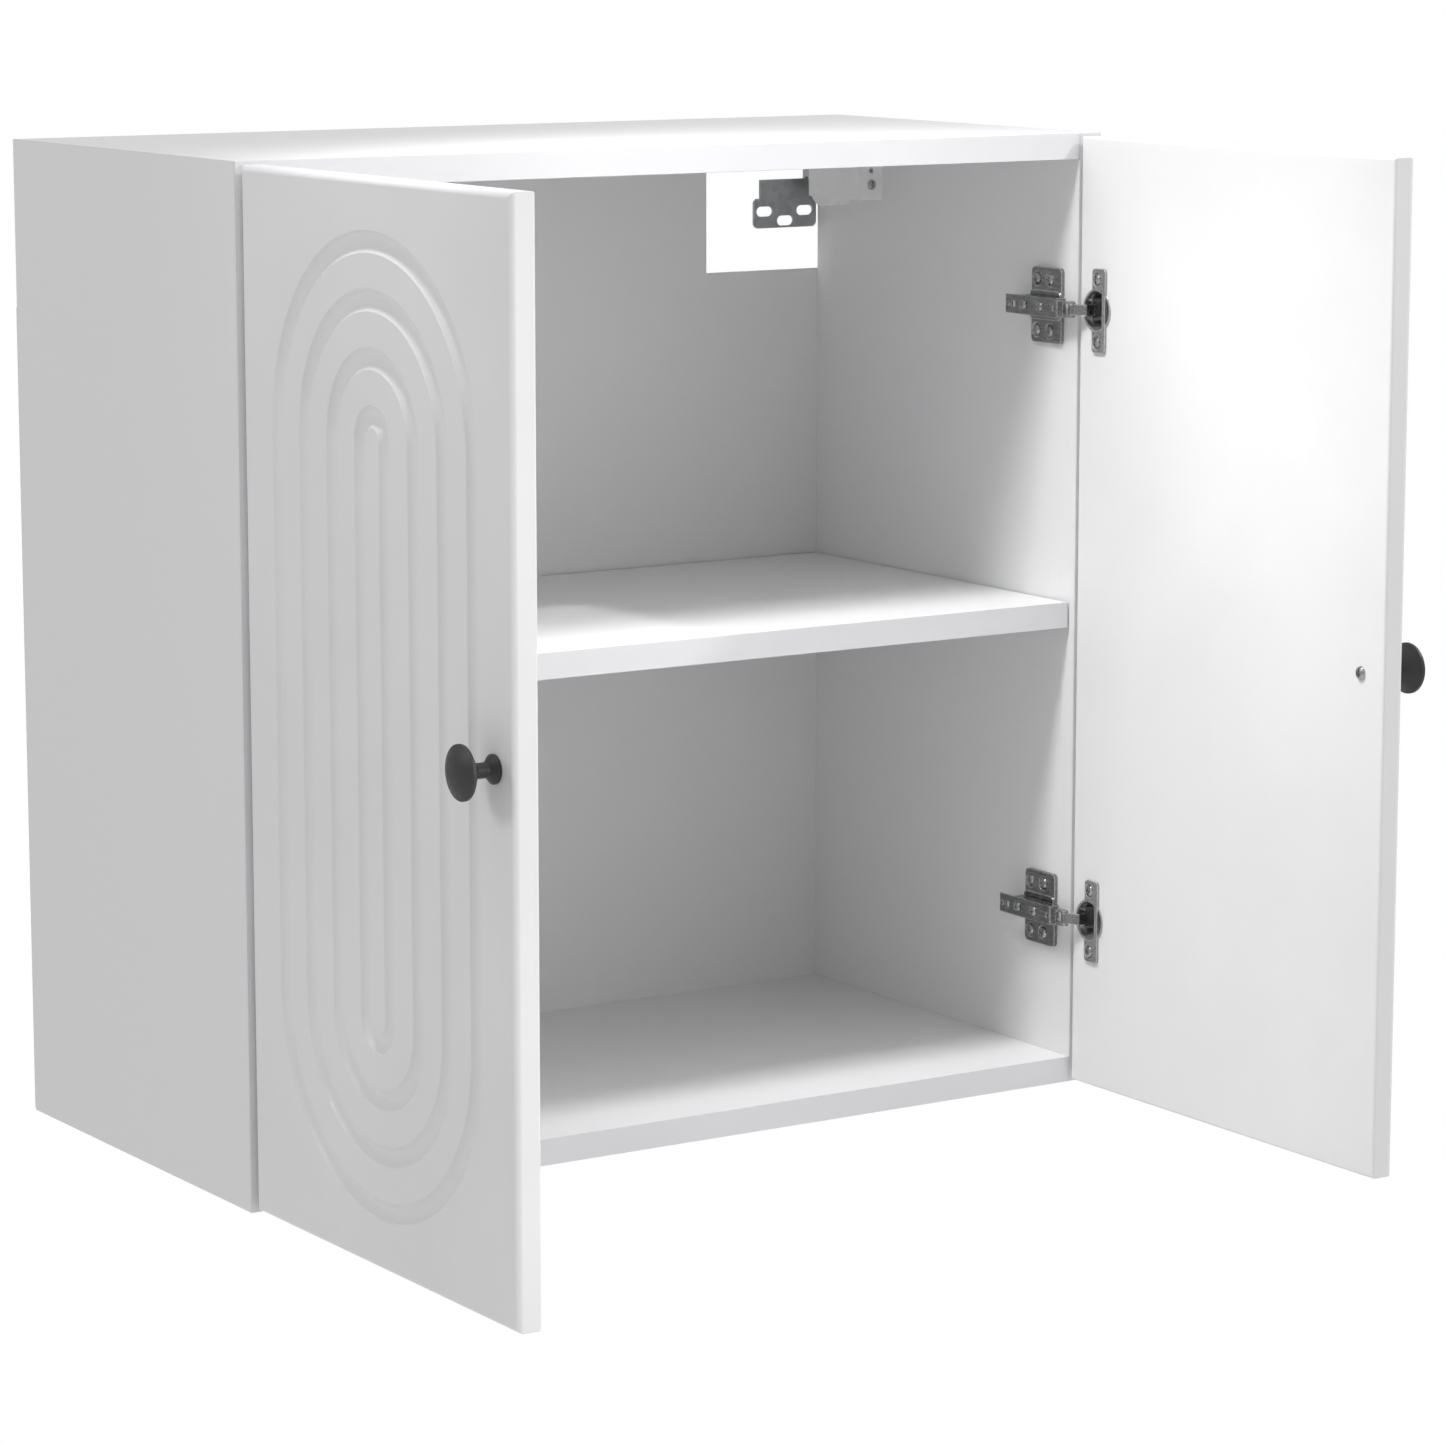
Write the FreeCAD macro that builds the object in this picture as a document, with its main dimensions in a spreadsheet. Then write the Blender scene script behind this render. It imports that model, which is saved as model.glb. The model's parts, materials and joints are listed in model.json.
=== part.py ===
import FreeCAD, Part

import os
import re

from FreeCAD import Placement, Rotation, Vector

# Hanging wall cabinet: a melamine carcass with one shelf, two doors on concealed hinges and two
# hangers that hook on wall plates. Millimetres, +X right, +Y to the wall, +Z up. The origin is the
# centre of the back, on the wall plane. Both doors stand open at 90 degrees, their rest position.

doc = FreeCAD.newDocument("wall_cabinet")
sheet = doc.addObject("Spreadsheet::Sheet", "sizes")

SIZES = {
    # carcass
    "width": 600.0,
    "height": 600.0,
    "depth": 292.0,
    "board": 16.0,
    "back_sheet": 3.0,
    "back_inset": 1.0,
    "edge_band": 0.8,
    "joint_gap": 0.2,
    "cutout_wide": 88.3,
    "cutout_low": 198.5,
    # shelf
    "shelf_top": 7.3,
    "shelf_inset": 5.0,
    "shelf_end_gap": 1.6,
    "shelf_pin_radius": 2.5,
    "shelf_pin_reach": 8.0,
    "shelf_pin_inset": 45.0,
    # knock-down fittings
    "cam_radius": 7.5,
    "cam_deep": 12.5,
    "cam_inset": 34.0,
    "cam_bolt_radius": 3.5,
    "dowel_radius": 4.0,
    "dowel_half": 15.0,
    "fitting_first": 37.0,
    "fitting_last": 245.0,
    "dowel_offset": 32.0,
    "nail_radius": 0.8,
    "nail_head": 0.5,
    # doors
    "door_wide": 294.0,
    "door_tall": 596.0,
    "door_thick": 15.0,
    "door_gap": 3.0,
    "door_reveal": 4.0,
    "door_face": 0.7,
    "door_round": 3.5,
    "door_soft": 1.5,
    "flute_wide": 12.0,
    "flute_deep": 3.0,
    "flute_first": 13.5,
    "flute_pitch": 31.0,
    "flute_half": 158.0,
    # knobs
    "knob_inset": 20.0,
    "knob_bore": 2.3,
    # hinges
    "hinge_level": 192.0,
    "cup_radius": 13.0,
    "cup_inset": 17.8,
    "cup_deep": 11.0,
    "cup_wall": 0.7,
    "flange_wide": 13.0,
    "flange_tall": 52.0,
    "flange_thick": 1.7,
    "cup_screw_inset": 19.1,
    "cup_screw_level": 19.5,
    "arm_pin_out": 9.5,
    "arm_pin_ahead": 6.0,
    "cup_pin_inset": 8.42,
    "cup_pin_deep": 3.1,
    "hinge_pin_radius": 1.25,
    "hinge_pin_play": 0.05,
    "link_half": 3.4,
    "link_tip_half": 3.2,
    "link_elbow_out": 5.0,
    "link_elbow_ahead": 15.0,
    "link_hook_out": -0.4,
    "link_hook_ahead": 15.4,
    "link_thick": 1.4,
    "plate_front": 14.0,
    "plate_long": 31.0,
    "plate_tall": 47.0,
    "plate_thick": 2.6,
    "skirt_thick": 3.8,
    "skirt_half": 9.0,
    "saddle_top": 9.0,
    "saddle_half": 4.4,
    "plate_screw_front": 26.0,
    "plate_screw_back": 39.5,
    "plate_screw_level": 16.0,
    "arm_half": 6.0,
    "eye_radius": 2.4,
    "arm_sheet": 1.2,
    "arm_top": 13.2,
    "arm_back": 58.0,
    "arm_lead": 0.8,
    "arm_fold": 6.0,
    "nose_top": 12.4,
    "nose_half": 4.8,
    "rib_radius": 1.7,
    "rib_long": 10.0,
    "rivet_radius": 1.6,
    "screw_hole": 1.6,
    "dish_radius": 4.7,
    "dish_deep": 0.6,
    "cup_dish_deep": 0.4,
    "plate_round": 3.0,
    "flange_round": 2.4,
    "flange_strip": 24.4,
    # hangers and wall plates
    "hanger_wide": 18.0,
    "hanger_front": 213.0,
    "hanger_back": 273.0,
    "hanger_round": 1.0,
    "bump_radius": 15.0,
    "peg_radius": 5.0,
    "hanger_low": 248.0,
    "hanger_wall": 2.0,
    "hook_out": 7.5,
    "hook_thick": 3.0,
    "rail_sheet": 1.6,
    "rail_wide": 50.0,
    "rail_low": 226.4,
    "rail_ledge": 246.0,
    "rail_top": 258.7,
    "rail_stand": 4.6,
    "rail_round": 3.5,
    "rail_slot_half": 3.3,
    "rail_slot_long": 12.9,
}
for row, (alias, value) in enumerate(SIZES.items(), start=1):
    sheet.set(f"A{row}", alias)
    sheet.set(f"B{row}", repr(value))
    sheet.setAlias(f"B{row}", alias)
doc.recompute()

NODES = []
ALONG_X = Rotation(Vector(0, 1, 0), 90)
AGAINST_X = Rotation(Vector(0, 1, 0), -90)
ALONG_Y = Rotation(Vector(1, 0, 0), -90)
AGAINST_Y = Rotation(Vector(1, 0, 0), 90)
ALONG_Z = Rotation()
AGAINST_Z = Rotation(Vector(1, 0, 0), 180)


def formula(text):
    """Turn sheet aliases in a formula into references to the sheet."""
    return re.sub(r"[a-z_]{3,}", lambda word: ("sizes." if word.group() in SIZES else "") + word.group(),
                  str(text))


def bind(thing, **formulas):
    """Bind properties of an object to formulas of the sheet."""
    for name, text in formulas.items():
        thing.setExpression(name, formula(text))
    return thing


def put(thing, x, y, z, turn=ALONG_Z):
    """Place an object at a point given by three formulas."""
    thing.Placement = Placement(Vector(), turn)
    for axis, text in zip("xyz", (x, y, z)):
        thing.setExpression("Placement.Base." + axis, formula(text))
    return thing


def box(label, x, y, z):
    """A box between pairs of formulas, low then high."""
    block = doc.addObject("Part::Box", label)
    bind(block, Length=f"({x[1]}) - ({x[0]})", Width=f"({y[1]}) - ({y[0]})", Height=f"({z[1]}) - ({z[0]})")
    return put(block, x[0], y[0], z[0])


def eased(block, radius, along):
    """Round the four edges of a box that run along one axis."""
    doc.recompute()
    numbers = [number for number, edge in enumerate(block.Shape.Edges, start=1)
               if abs(getattr(edge.tangentAt(edge.FirstParameter), along)) > 0.99]
    rounded = doc.addObject("Part::Fillet", block.Label + "_eased")
    rounded.Base = block
    rounded.Edges = [(number, SIZES[radius], SIZES[radius]) for number in numbers]
    return rounded


def rod(label, turn, point, radius, length):
    """A cylinder that starts at a point and runs along the turned Z axis."""
    bar = doc.addObject("Part::Cylinder", label)
    bind(bar, Radius=radius, Height=length)
    return put(bar, *point, turn)


def fuse(label, pieces):
    """One solid out of several."""
    joined = doc.addObject("Part::MultiFuse", label)
    joined.Shapes = pieces
    joined.Refine = True
    return joined


def cut(label, base, tools):
    """A base with all tools taken away."""
    tool = tools[0]
    if len(tools) > 1:
        tool = doc.addObject("Part::MultiFuse", label + "_tools")
        tool.Shapes = tools
    rest = doc.addObject("Part::Cut", label)
    rest.Base = base
    rest.Tool = tool
    return rest


def group(label, pieces):
    """Several separate solids under one label."""
    bunch = doc.addObject("Part::Compound", label)
    bunch.Links = pieces
    return bunch


def copy_of(master, label, turn, point):
    """A placed link to a master piece."""
    link = doc.addObject("App::Link", label)
    link.LinkedObject = master
    return put(link, *point, turn)


def node(thing):
    """Register a finished sub-part under its own label."""
    NODES.append(thing)
    return thing


def plane(body, role):
    """An origin plane of a body, found by its role."""
    return next(item for item in body.Origin.OriginFeatures if item.Role == role)


def sketch(body, role, name):
    """An empty sketch on one of a body's own origin planes."""
    drawing = body.newObject("Sketcher::SketchObject", name)
    drawing.AttachmentSupport = [(plane(body, role), "")]
    drawing.MapMode = "FlatFace"
    return drawing


def outline(drawing, points):
    """Draw a closed outline of straight runs through the points."""
    ends = [Vector(u, v, 0) for u, v in points]
    for start, end in zip(ends, ends[1:] + ends[:1]):
        drawing.addGeometry(Part.LineSegment(start, end), False)


def turned(label, profile):
    """A PartDesign body turned about its Z axis from a profile of radius and height."""
    body = doc.addObject("PartDesign::Body", label)
    drawing = sketch(body, "XZ_Plane", label + "_profile")
    outline(drawing, profile)
    doc.recompute()
    lathe = body.newObject("PartDesign::Revolution", label + "_turning")
    lathe.Profile = drawing
    lathe.ReferenceAxis = (drawing, ["V_Axis"])
    lathe.Angle = 360.0
    body.Tip = lathe
    doc.recompute()
    return body


def plate_body(label, role, points, thick):
    """A PartDesign body padded from a straight-sided outline."""
    body = doc.addObject("PartDesign::Body", label)
    drawing = sketch(body, role, label + "_outline")
    outline(drawing, points)
    doc.recompute()
    pad = body.newObject("PartDesign::Pad", label + "_pad")
    pad.Profile = drawing
    bind(pad, Length=thick)
    body.Tip = pad
    doc.recompute()
    return body


def soften(body, label, radius, choose):
    """Round the edges of a body's tip that a test picks out."""
    base = body.Tip
    names = [f"Edge{number}" for number, edge in enumerate(base.Shape.Edges, start=1) if choose(edge)]
    round_off = body.newObject("PartDesign::Fillet", label)
    round_off.Base = (base, names)
    bind(round_off, Radius=radius)
    body.Tip = round_off
    doc.recompute()
    return body


def screw(label, head, head_tall, shank, length, slot_deep=1.1):
    """A pan-head cross-recess screw, its seat on Z = 0 and its shank below it."""
    crown = head * 0.55
    body = turned(label, [(0, head_tall), (crown, head_tall), (head * 0.9, head_tall * 0.6), (head, 0.0),
                          (shank, 0.0), (shank, shank - length), (0, -length)])
    cross = sketch(body, "XY_Plane", label + "_cross")
    arm = head * 0.6
    half = head * 0.13
    outline(cross, [(arm, half), (half, half), (half, arm), (-half, arm), (-half, half), (-arm, half),
                    (-arm, -half), (-half, -half), (-half, -arm), (half, -arm), (half, -half), (arm, -half)])
    cross.AttachmentOffset = Placement(Vector(0, 0, head_tall), Rotation())
    doc.recompute()
    solid = body.Tip.Shape.Volume
    recess = body.newObject("PartDesign::Pocket", label + "_recess")
    recess.Profile = cross
    recess.Length = slot_deep
    body.Tip = recess
    doc.recompute()
    assert body.Tip.Shape.Volume < solid - 0.1, label + " recess cuts nothing"
    return body


def left_x(inward):
    """X of a point so far inward of the left side panel's inner face."""
    return f"({inward}) - (width / 2 - board)"


def deep_y(back):
    """Y of a point so far behind the carcass front."""
    return f"({back}) - depth"


def mirrored(thing, label):
    """The right-hand twin of a left-hand piece."""
    twin = doc.addObject("Part::Mirroring", label)
    twin.Source = thing
    twin.Base = Vector()
    twin.Normal = Vector(1, 0, 0)
    return node(twin)


def both_sides(thing):
    """Register a left-hand piece and make its right-hand twin."""
    node(thing)
    mirrored(thing, thing.Label.replace("left_", "right_", 1))


# ---- masters of the repeated fasteners -------------------------------------------------------
plate_screw = screw("plate_screw", 3.9, 1.8, 1.6, 13.0)
cup_screw = screw("cup_screw", 3.7, 1.7, 1.6, 11.0)
arm_screw = screw("arm_screw", 3.2, 1.6, 1.8, 5.5)
hanger_screw = screw("hanger_screw", 3.2, 1.4, 2.2, 9.0)
knob_screw = screw("knob_screw", 4.0, 2.2, 1.9, 26.5)
nail_shank, nail_head = SIZES["nail_radius"], SIZES["nail_head"]
nail = turned("nail", [(0, nail_head), (2 * nail_shank, nail_head), (2 * nail_shank, 0.0), (nail_shank, 0.0),
                       (nail_shank, -14.0), (0, -16.0)])
cam_bolt = turned("cam_bolt", [(0, 34.0), (3.5, 34.0), (3.5, 31.5), (2.0, 30.5), (2.0, 27.0), (3.5, 26.0),
                               (3.5, 0.0), (2.5, 0.0), (2.5, -11.0), (0, -11.0)])

# ---- where the fittings sit ------------------------------------------------------------------
FITTING_ROWS = ["fitting_first", "fitting_last"]
HINGES = {"lower": "-hinge_level", "upper": "hinge_level"}
PLATE_SCREWS = [(row, side) for row in ("plate_screw_front", "plate_screw_back") for side in (-1, 1)]
HANGER_PEGS = ["hanger_front + 16", "hanger_back - 12"]
BACK_FACE = "-back_sheet"
INNER_TOP = "height / 2 - board"
SIDE_NAILS = [("(board - width) / 2", level) for level in (-270, -135, 0, 135)]
TOP_NAILS = [(across, "(height - board) / 2") for across in (-150, 0, 150)]
BOTTOM_NAILS = [(across, "(board - height) / 2") for across in (-200, -67, 67, 200)]


def mirrored_points(points):
    """The same points on the right-hand side."""
    return [(f"-({x})", z) for x, z in points]


def back_nail_points():
    """X and Z of every nail of the back sheet."""
    return SIDE_NAILS + mirrored_points(SIDE_NAILS) + TOP_NAILS + BOTTOM_NAILS


def nail_bores(points):
    """Shank bores of the nails, from the wall plane forwards."""
    return [rod("nail_bore", AGAINST_Y, (x, 1, z), "nail_radius", 18) for x, z in points]


# ---- carcass ---------------------------------------------------------------------------------
def side_panel():
    """Left side board with its fitting bores, pin bores and screw pilot holes."""
    blank = box("left_side_blank", ("-width / 2", "board - width / 2"),
                (deep_y("edge_band"), BACK_FACE), ("-height / 2", "height / 2"))
    tools = []
    inner = left_x(0)
    for level in (f"({INNER_TOP}) + board / 2", f"-({INNER_TOP}) - board / 2"):
        for back in FITTING_ROWS:
            tools.append(rod("bolt_bore", AGAINST_X, (inner, deep_y(back), level), 2.5, 11))
            tools.append(rod("dowel_bore", AGAINST_X, (inner, deep_y(f"{back} + dowel_offset"), level),
                             "dowel_radius", "dowel_half - 4"))
    for back in ("shelf_pin_inset", "depth - shelf_pin_inset"):
        tools.append(rod("pin_bore", AGAINST_X, (inner, deep_y(back), "shelf_top - board + 2.4"),
                         "shelf_pin_radius", 9))
    for level in HINGES.values():
        for back, side in PLATE_SCREWS:
            height = f"{level} + {side} * plate_screw_level"
            tools.append(rod("pilot", AGAINST_X, (inner, deep_y(back), height), "screw_hole",
                             "14 - plate_thick"))
    for back in HANGER_PEGS:
        tools.append(rod("peg_bore", AGAINST_X, (inner, deep_y(back), "hanger_low + 20"), "peg_radius", 11))
    return cut("left_side_panel", blank, tools + nail_bores(SIDE_NAILS))


def level_panel(label, low, nails):
    """Top or bottom board between the sides, with cam pockets in its underside."""
    blank = box(label + "_blank", (left_x("joint_gap"), "width / 2 - board - joint_gap"),
                (deep_y("edge_band"), BACK_FACE), (low, f"({low}) + board"))
    tools = []
    middle = f"({low}) + board / 2"
    for end, turn in ((-1, ALONG_X), (1, AGAINST_X)):
        face = f"{end} * (width / 2 - board)"
        for back in FITTING_ROWS:
            tools.append(rod("bolt_way", turn, (face, deep_y(back), middle), "cam_bolt_radius + 0.5",
                             "cam_inset"))
            tools.append(rod("cam_pocket", ALONG_Z, (f"({face}) - {end} * cam_inset", deep_y(back), low),
                             "cam_radius", "cam_deep"))
            tools.append(rod("dowel_bore", turn, (face, deep_y(f"{back} + dowel_offset"), middle),
                             "dowel_radius", "dowel_half + 4"))
    return cut(label, blank, tools + nail_bores(nails))


def back_panel():
    """Thin sheet nailed on the rear, its two upper corners cut away for the hangers."""
    blank = box("back_blank", ("back_inset - width / 2", "width / 2 - back_inset"), (BACK_FACE, 0),
                ("back_inset - height / 2", "height / 2 - back_inset"))
    reach = ("width / 2 - board - cutout_wide", "width / 2 + 1")
    tools = [box("corner_cutout", pair, (f"{BACK_FACE} - 1", 1), ("cutout_low", "height / 2 + 1"))
             for pair in (reach, (f"-({reach[1]})", f"-({reach[0]})"))]
    points = back_nail_points()
    heads = [rod("head_sink", AGAINST_Y, (x, 0, z), "2 * nail_radius", "nail_head") for x, z in points]
    return cut("back_panel", blank, tools + nail_bores(points) + heads)


def edge_bands():
    """Thin edging on the carcass front: sides full height, top and bottom between them."""
    front = (deep_y(0), deep_y("edge_band"))
    bands = []
    for side in (-1, 1):
        low, high = ("-width / 2", "board - width / 2") if side < 0 else ("width / 2 - board", "width / 2")
        bands.append(box("side_band", (low, high), front, ("-height / 2", "height / 2")))
    for low in (INNER_TOP, "-height / 2"):
        bands.append(box("level_band", (left_x("joint_gap"), "width / 2 - board - joint_gap"), front,
                         (low, f"({low}) + board")))
    return group("carcass_edge_bands", bands)


def cam_lock(label, point):
    """A cam disc with its bolt slot and cross recess, opening downwards."""
    disc = rod(label + "_disc", ALONG_Z, point, "cam_radius", "cam_deep")
    x, y, z = point
    slot = box(label + "_slot", (f"({x}) - 9", f"({x}) + 9"), (f"({y}) - 4", f"({y}) + 4"),
               (f"({z}) + 4", f"({z}) + 12"))
    cross = box(label + "_cross", (f"({x}) - 4", f"({x}) + 4"), (f"({y}) - 0.8", f"({y}) + 0.8"),
                (f"({z}) - 1", f"({z}) + 2"))
    return cut(label, disc, [slot, cross])


def joint_fittings():
    """Cam locks, cam bolts and dowels of the four carcass corners."""
    cams = []
    bolts = []
    dowels = []
    for low in (INNER_TOP, "-height / 2"):
        middle = f"({low}) + board / 2"
        for end, turn in ((-1, ALONG_X), (1, AGAINST_X)):
            face = f"{end} * (width / 2 - board)"
            for back in FITTING_ROWS:
                cams.append(cam_lock("cam", (f"({face}) - {end} * cam_inset", deep_y(back), low)))
                bolts.append(copy_of(cam_bolt, "bolt_copy", turn, (face, deep_y(back), middle)))
                start = f"({face}) + {end} * (dowel_half - 4)"
                dowels.append(rod("dowel", turn, (start, deep_y(f"{back} + dowel_offset"), middle),
                                  "dowel_radius", "2 * dowel_half"))
    node(group("cam_locks", cams))
    node(group("cam_bolts", bolts))
    node(group("dowels", dowels))


# ---- shelf -----------------------------------------------------------------------------------
def shelf_panel():
    """Loose shelf with a notch under each end for its hidden support pins."""
    half = "(width / 2 - board - shelf_end_gap)"
    blank = box("shelf_blank", (f"-{half}", half), (deep_y("shelf_inset + edge_band"), f"{BACK_FACE} - 2"),
                ("shelf_top - board", "shelf_top"))
    notches = []
    for end in (-1, 1):
        for back in ("shelf_pin_inset", "depth - shelf_pin_inset"):
            low, high = (f"-{half} - 1", f"-{half} + 9") if end < 0 else (f"{half} - 9", f"{half} + 1")
            notches.append(box("pin_notch", (low, high), (deep_y(f"{back} - 3"), deep_y(f"{back} + 3")),
                               ("shelf_top - board - 1", "shelf_top - board + 4.9")))
    return cut("shelf", blank, notches)


def shelf_pins():
    """Four steel pins pressed into the sides."""
    pins = []
    for end, turn in ((-1, ALONG_X), (1, AGAINST_X)):
        for back in ("shelf_pin_inset", "depth - shelf_pin_inset"):
            start = f"{end} * (width / 2 - board + 9)"
            pins.append(rod("pin", turn, (start, deep_y(back), "shelf_top - board + 2.4"),
                            "shelf_pin_radius", "9 + shelf_pin_reach"))
    return group("shelf_pins", pins)


# ---- hinges ----------------------------------------------------------------------------------
def mounting_plate(name, level):
    """Winged plate on the side panel with a raised saddle for the arm."""
    back = "plate_front + plate_long"
    along = (deep_y("plate_front"), deep_y(back))
    wing = eased(box(name + "_wing", (left_x(0), left_x("plate_thick")), along,
                     (f"{level} - plate_tall / 2", f"{level} + plate_tall / 2")), "plate_round", "x")
    skirt = eased(box(name + "_skirt", (left_x(0), left_x("skirt_thick")), along,
                      (f"{level} - skirt_half", f"{level} + skirt_half")), "plate_round", "x")
    saddle = box(name + "_saddle", (left_x(0), left_x("saddle_top")),
                 (deep_y("plate_front - 1.5"), deep_y(f"{back} - 1")),
                 (f"{level} - saddle_half", f"{level} + saddle_half"))
    holes = [rod("hole", AGAINST_X, (left_x(20), deep_y(row), f"{level} + {side} * plate_screw_level"),
                 "screw_hole", 30) for row, side in PLATE_SCREWS]
    holes += [rod("dish", ALONG_X, (left_x("plate_thick - dish_deep"), deep_y(row),
                                    f"{level} + {side} * plate_screw_level"), "dish_radius", 4)
              for row, side in PLATE_SCREWS]
    holes.append(rod("arm_thread", AGAINST_X, (left_x(20), deep_y("plate_front + 8"), level), 1.8, 14))
    holes.append(rod("rear_thread", AGAINST_X, (left_x(20), deep_y("plate_front + 25"), level), 1.8, 14))
    return cut(name, fuse(name + "_blank", [wing, skirt, saddle]), holes)


def hinge_arm(name, level):
    """Channel-section arm over the saddle, its narrower nose carrying the link pin."""
    pieces = [box(name + "_top", (left_x("arm_top - arm_sheet"), left_x("arm_top")),
                  (deep_y("arm_fold"), deep_y("arm_back")), (f"{level} - arm_half", f"{level} + arm_half")),
              rod(name + "_fold", ALONG_Z, (left_x("arm_top - 1"), deep_y("arm_fold"), f"{level} - arm_half"),
                  1, "2 * arm_half"),
              box(name + "_nose", (left_x("nose_top - arm_sheet"), left_x("nose_top")),
                  (deep_y("-arm_lead"), deep_y("arm_fold")),
                  (f"{level} - nose_half", f"{level} + nose_half"))]
    ear = (left_x("arm_pin_out - eye_radius"), left_x("arm_pin_out + eye_radius"))
    for side in (-1, 1):
        middle = f"{level} + {side} * (arm_half - arm_sheet / 2)"
        pieces.append(box(name + "_wall", (left_x(5), left_x("arm_top - arm_sheet / 2")),
                          (deep_y("arm_fold"), deep_y("arm_back - 14")),
                          (f"{middle} - arm_sheet / 2", f"{middle} + arm_sheet / 2")))
        middle = f"{level} + {side} * (nose_half - arm_sheet / 2)"
        cheek = (f"{middle} - arm_sheet / 2", f"{middle} + arm_sheet / 2")
        pieces.append(box(name + "_cheek", (left_x("arm_pin_out - eye_radius"), left_x("nose_top - 0.2")),
                          (deep_y("-arm_lead"), deep_y("arm_fold + 2")), cheek))
        pieces.append(box(name + "_ear", ear, (deep_y("-arm_pin_ahead"), deep_y(1)), cheek))
        pieces.append(rod(name + "_eye", ALONG_Z, (left_x("arm_pin_out"), deep_y("-arm_pin_ahead"), cheek[0]),
                          "eye_radius", "arm_sheet"))
    pieces.append(rod(name + "_rib", ALONG_Y, (left_x("arm_top - arm_sheet / 2"), deep_y("arm_fold + 2"),
                                               level), "rib_radius", "rib_long"))
    pieces.append(rod(name + "_rivet", ALONG_X, (left_x("arm_top - 1"), deep_y("arm_back - 3"), level),
                      "rivet_radius", 1.7))
    tools = [rod("pin_bore", ALONG_Z, (left_x("arm_pin_out"), deep_y("-arm_pin_ahead"), f"{level} - 10"),
                 "hinge_pin_radius", 20)]
    for place, half in (("plate_front + 8", 2.2), ("plate_front + 25", 2.6)):
        tools.append(box("arm_slot", (left_x("arm_top - 3"), left_x("arm_top + 1")),
                         (deep_y(f"{place} - 4"), deep_y(f"{place} + 4")),
                         (f"{level} - {half}", f"{level} + {half}")))
    tools.append(box("key_window", (left_x("arm_top - 3"), left_x("arm_top + 1")),
                     (deep_y("arm_back - 10"), deep_y("arm_back - 6.5")),
                     (f"{level} - 1.7", f"{level} + 1.7")))
    return cut(name, fuse(name + "_blank", pieces), tools)


def strap(label, start, end, level, half):
    """One flat run of the link between two points of its plan outline."""
    run = end - start
    across = Vector(-run.y, run.x, 0).normalize() * (SIZES["link_thick"] / 2)
    flat = doc.addObject("Part::Box", label)
    bind(flat, Length=run.Length, Width="link_thick", Height=f"2 * {half}")
    return put(flat, left_x(start.x - across.x), deep_y(start.y - across.y), f"{level} - {half}",
               Rotation(Vector(1, 0, 0), run))


def hinge_link(name, level):
    """Gooseneck link that swings between the arm pin and the cup pin."""
    arm_end = Vector(SIZES["arm_pin_out"], -SIZES["arm_pin_ahead"], 0)
    elbow = Vector(SIZES["link_elbow_out"], -SIZES["link_elbow_ahead"], 0)
    hook = Vector(SIZES["link_hook_out"], -SIZES["link_hook_ahead"], 0)
    cup_end = Vector(SIZES["door_face"] - SIZES["cup_pin_deep"],
                     -SIZES["door_gap"] - SIZES["cup_pin_inset"], 0)
    pieces = [strap(name + "_neck", arm_end, elbow, level, "link_half"),
              strap(name + "_front", elbow, hook, level, "link_half"),
              strap(name + "_tail", hook, cup_end, level, "link_tip_half")]
    for bend, half in ((elbow, "link_half"), (hook, "link_half")):
        pieces.append(rod(name + "_bend", ALONG_Z, (left_x(bend.x), deep_y(bend.y), f"{level} - {half}"),
                          "link_thick / 2", f"2 * {half}"))
    tools = []
    for end in (arm_end, cup_end):
        x, y = left_x(end.x), deep_y(end.y)
        pieces.append(rod(name + "_barrel", ALONG_Z, (x, y, f"{level} - link_tip_half"),
                          "hinge_pin_radius + 0.85", "2 * link_tip_half"))
        tools.append(rod("bore", ALONG_Z, (x, y, f"{level} - 10"), "hinge_pin_radius + hinge_pin_play", 20))
    return cut(name, fuse(name + "_blank", pieces), tools)


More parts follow.
